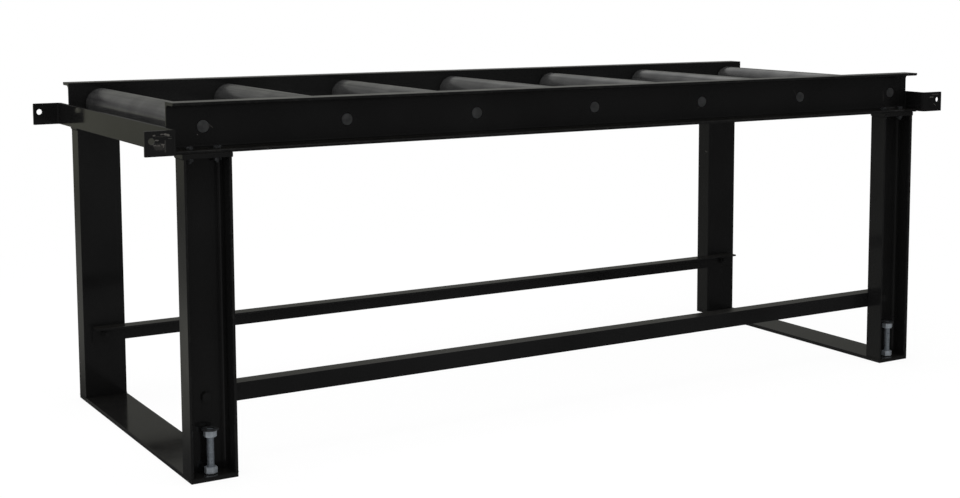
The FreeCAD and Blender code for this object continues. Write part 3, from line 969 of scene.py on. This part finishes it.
bolts_low, bolts_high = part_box("rail_bolts")
seat = bolts_high.z - rail_bolt_head_height
bolt_unit, nut_unit = bolt_and_nut(
    rail_bolt_across_flats, rail_bolt_head_height, rail_nut_height, rail_bolt_diameter,
    rail_thread_depth, rail_thread_lead, seat - bolts_low.z, bolt_zinc)
for name, unit, level, node in (
        ("rail_hexagon_bolts", bolt_unit, seat, "rail_bolts"),
        ("rail_hexagon_nuts", nut_unit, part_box("rail_nuts")[0].z, "rail_nuts")):
    places = [(point.x, point.y, level) for corner, side in CORNERS
              for point in rail_bolt_row(corner, side)]
    group = set_copies(name, unit, places, untilted, bolt_zinc)
    dress(group, bolt_zinc, "zinc_plate", "frame", node)
    bpy.data.objects.remove(unit)

# --- bolts between legs and stretchers ---------------------------------------------
# One 1/2 in bolt through each leg's web into the angle behind it, painted over with the
# frame, so that only its shape shows.
stretcher_bolt_diameter = 12.7 * MM
stretcher_bolt_across_flats = 19.05 * MM
stretcher_bolt_head_height = 8.0 * MM
stretcher_nut_height = 11.1 * MM
stretcher_thread_lead = 25.4 * MM / 13
stretcher_thread_depth = 1.0 * MM
thread_past_nut = 3.6 * MM

# The frame's enamel brushed over a hexagon head: as black, a little duller.
fastener_enamel = black_enamel("enamel_over_fasteners", gloss=0.16, dust=0.14)
leg_centres = [middle_of("near_%s_leg" % end_name).x for end_name, end in ENDS]
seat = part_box("stretcher_bolts")[1].y - stretcher_bolt_head_height
nut_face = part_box("stretcher_nuts")[1].y - stretcher_nut_height
bolt_unit, nut_unit = bolt_and_nut(
    stretcher_bolt_across_flats, stretcher_bolt_head_height, stretcher_nut_height,
    stretcher_bolt_diameter, stretcher_thread_depth, stretcher_thread_lead,
    seat - nut_face + thread_past_nut, fastener_enamel)
for name, unit, reach, node in (
        ("stretcher_hexagon_bolts", bolt_unit, seat, "stretcher_bolts"),
        ("stretcher_hexagon_nuts", nut_unit, nut_face, "stretcher_nuts")):
    pairs = [set_copies("pair", unit, [(x, side * reach, bolt_line) for x in leg_centres],
                        Euler((-side * math.pi / 2, 0, 0)), fastener_enamel)
             for side_name, side in SIDES]
    bpy.data.objects.remove(unit)
    group = joined(name, pairs)
    shade_smooth(group)
    dress(group, fastener_enamel, "fastener_paint", "frame", node)

# --- weld beads --------------------------------------------------------------------
# Fillet welds laid by hand: along each leg's flanges at both its plates, up the rail ends
# behind the straps and round the foot nuts. The enamel covers them.
bead_pitch = 1.7 * MM
leg_bead = 4.0 * MM
nut_bead = 4.0 * MM
nut_corners = [math.radians(angle) for angle in range(30, 360, 60)]

bead_tree, size = geometry_tree("weld_bead", [
    ("Width", "Float"), ("Pitch", "Float"), ("Seed", "Int"), ("Material", "Material")])
seam = add(bead_tree, "GeometryNodeMeshToCurve", {"Mesh": size["Geometry"]})
stops = add(bead_tree, "GeometryNodeResampleCurve", {
    "Curve": seam, "Length": size["Pitch"]}, mode="LENGTH")
half_width = add(bead_tree, "ShaderNodeMath", {0: size["Width"], 1: 0.5}, operation="MULTIPLY")
drop = add(bead_tree, "GeometryNodeMeshUVSphere", {
    "Segments": 12, "Rings": 8, "Radius": half_width})
uneven = add(bead_tree, "FunctionNodeRandomValue", {
    "Min": 0.82, "Max": 1.06, "Seed": size["Seed"]})
ripples = add(bead_tree, "GeometryNodeInstanceOnPoints", {
    "Points": stops, "Instance": drop.outputs["Mesh"], "Scale": uneven})
close_tree(bead_tree, ripples, size["Material"])


def weld(name, path, width, closed=False):
    """A bead along a path of points, painted with the frame."""
    lines = [(index, index + 1) for index in range(len(path) - 1)]
    if closed:
        lines.append((len(path) - 1, 0))
    bead = carrier_of(name, path, lines)
    grow(bead, bead_tree, {"Width": width, "Pitch": bead_pitch, "Seed": len(name),
                           "Material": plate_enamel})
    dress(bead, plate_enamel, "frame_paint", "frame")


for end_name, end in ENDS:
    for side_name, side in SIDES:
        corner = "%s_%s" % (side_name, end_name)
        low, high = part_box("%s_leg" % corner)
        back = back_of(low, high, side)
        toe = back_of(low, high, -side)
        for level_name, level in (("foot", low.z), ("top", high.z)):
            for flange_name, x in (("left", low.x), ("right", high.x)):
                weld("%s_leg_%s_%s_weld" % (corner, level_name, flange_name),
                     [(x, toe - side * leg_bead, level), (x, back + side * leg_bead, level)],
                     leg_bead)
        strap_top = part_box("%s_end_strap" % end_name)[1].z
        rail_low, rail_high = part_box("%s_side_rail" % side_name)
        rail_end = rail_low.x if end < 0 else rail_high.x
        web_face = back + side * rail_web
        weld("%s_strap_weld" % corner,
             [(rail_end, web_face, rail_low.z + rail_flange_thickness + leg_bead),
              (rail_end, web_face, strap_top - leg_bead)], leg_bead)
        screw = middle_of("%s_levelling_screw" % corner)
        reach = drive_nut_across_flats / math.sqrt(3)
        weld("%s_nut_weld" % corner,
             [(screw.x + reach * math.cos(angle), screw.y + reach * math.sin(angle), foot_low)
              for angle in nut_corners], nut_bead, closed=True)

# --- floor and light ---------------------------------------------------------------
# A photographer's table-top studio: white paper under and behind the table, a broad soft
# lamp overhead, and a dim room with a few pale places, which the gloss paint mirrors.
floor_reach = 9.0
floor_glow = 0.92
fade_start = 1.6
fade_end = 2.6
plain_level = 0.9
lamp_place = (-0.8, -0.4, 3.2)
lamp_size = 3.0
lamp_power = 50.0
pale_core = 0.3


def seen_apart(tree, direct, in_gloss):
    """One shader for the camera and the light, and another for what gloss mirrors."""
    ray = add(tree, "ShaderNodeLightPath")
    mirrored = add(tree, "ShaderNodeMath", {
        0: ray.outputs["Is Glossy Ray"], 1: ray.outputs["Is Transmission Ray"]},
        operation="MAXIMUM")
    return add(tree, "ShaderNodeMixShader", {0: mirrored, 1: direct, 2: in_gloss})


# Matt white paper, that glows white a little way out from the table and isn't mirrored.
floor_material, tree, place = blank_material("white_paper_floor")
paper = add(tree, "ShaderNodeBsdfDiffuse", {"Color": linear("#ffffff")})
white = add(tree, "ShaderNodeEmission", {"Color": linear("#ffffff")})
distance = add(tree, "ShaderNodeVectorMath", {0: place}, operation="LENGTH")
glow = add(tree, "ShaderNodeMapRange", {
    "Value": distance, "From Min": fade_start, "From Max": fade_end, "To Min": floor_glow})
lit = add(tree, "ShaderNodeMixShader", {0: glow, 1: paper, 2: white})
seen = seen_apart(tree, lit, add(tree, "ShaderNodeBsdfTransparent"))
add(tree, "ShaderNodeOutputMaterial", {"Surface": seen})
floor_corners = [(x * floor_reach, y * floor_reach, 0)
                 for x, y in ((-1, -1), (1, -1), (1, 1), (-1, 1))]
floor_mesh = bpy.data.meshes.new("paper_floor")
floor_mesh.from_pydata(floor_corners, [], [(0, 1, 2, 3)])
floor_mesh.materials.append(floor_material)
floor = linked("paper_floor", floor_mesh)

# Each pale place: compass turn from +X and height in degrees, spread, flattening, level, hue.
room_level = 0.035
pale_places = [
    ("paper sweep behind", 70, 13, 0.85, 1.8, 0.1, "#fbfced"),
    ("pale band low behind", 58, 4, 0.45, 3.5, 0.07, "#ffffff"),
    ("window behind at the right", 58, 42, 0.5, 1.0, 0.31, "#ffffff"),
    ("pale band behind at the left", 104, 12, 0.55, 1.8, 0.08, "#ffffff"),
    ("olive wall at the left", 100, -3, 0.5, 4.0, 0.15, "#fafbdf"),
    ("pale wall at the far left", 134, -8, 0.5, 1.5, 0.09, "#fbfcef"),
    ("paper at the left", 111, -13.7, 0.08, 1.3, 0.25, "#fdfdf0"),
    ("far end of the paper at the left", 104.7, -10.9, 0.135, 2.0, 0.15, "#fdfdf0"),
    ("window at the front left", 205, 30, 0.6, 1.2, 0.3, "#ffffff"),
    ("paper at the front left", 242, -14, 0.4, 1.5, 0.13, "#ffffff"),
    ("dim wall at the front", 288, -5, 0.5, 1.0, 0.03, "#ffffff"),
    ("pale wall at the right", 5, -8, 0.7, 1.0, 0.06, "#ffffff"),
    ("ceiling lights", 90, 80, 1.1, 1.0, 0.3, "#ffffff")]
world = bpy.data.worlds.new("studio")
bpy.context.scene.world = world
world.use_nodes = True
tree = world.node_tree
tree.nodes.clear()
direction = add(tree, "ShaderNodeTexCoord").outputs["Generated"]
level = Vector((room_level, room_level, room_level))
for name, turn, height, reach, flatness, strength, hue in pale_places:
    turn = math.radians(turn)
    height = math.radians(height)
    towards = (math.cos(height) * math.cos(turn), math.cos(height) * math.sin(turn),
               math.sin(height))
    offset = add(tree, "ShaderNodeVectorMath", {0: direction, 1: towards}, operation="SUBTRACT")
    squeezed = add(tree, "ShaderNodeVectorMath", {0: offset, 1: (1.0, 1.0, flatness)},
                   operation="MULTIPLY")
    gap = add(tree, "ShaderNodeVectorMath", {0: squeezed}, operation="LENGTH")
    pale = add(tree, "ShaderNodeMapRange", {
        "Value": gap, "From Min": reach * pale_core, "From Max": reach, "To Min": 1.0,
        "To Max": 0.0}, label=name, interpolation_type="SMOOTHSTEP")
    level = add(tree, "ShaderNodeVectorMath", {
        0: pale, 1: Vector(linear(hue)[:3]) * strength, 2: level}, operation="MULTIPLY_ADD")
room = add(tree, "ShaderNodeBackground", {"Color": level})
plain = add(tree, "ShaderNodeBackground", {"Color": linear("#ffffff"), "Strength": plain_level})
backdrop = add(tree, "ShaderNodeBackground", {"Color": linear("#ffffff"), "Strength": 1.0})
camera_ray = add(tree, "ShaderNodeLightPath").outputs["Is Camera Ray"]
seen = add(tree, "ShaderNodeMixShader", {
    0: camera_ray, 1: seen_apart(tree, plain, room), 2: backdrop})
add(tree, "ShaderNodeOutputWorld", {"Surface": seen})

lamp = bpy.data.lights.new("overhead_softbox", "AREA")
lamp.shape = "SQUARE"
lamp.size = lamp_size
lamp.energy = lamp_power
softbox = linked("overhead_softbox", lamp)
softbox.location = lamp_place
softbox.visible_glossy = False

# --- camera ------------------------------------------------------------------------
# A short telephoto view from in front of the left end, at about the height of a chest. The
# lens is shifted sideways and down, to hold the whole table in view.
camera_place = Vector((-2.02828, -3.37783, 1.00603))
camera_yaw = math.radians(-32.7999)
camera_pitch = math.radians(-6.0096)
camera_roll = math.radians(0.0874)
camera = bpy.data.cameras.new("camera")
camera.sensor_width = 36.0
camera.lens = 58.426
camera.shift_x = -0.08656
camera.shift_y = -0.10405
view_point = linked("camera", camera)
view_point.location = camera_place
aim = (Matrix.Rotation(camera_yaw, 3, "Z") @ Matrix.Rotation(math.pi / 2 + camera_pitch, 3, "X")
       @ Matrix.Rotation(camera_roll, 3, "Z"))
view_point.rotation_euler = aim.to_euler()
bpy.context.scene.camera = view_point
bpy.context.scene.view_settings.view_transform = "Standard"
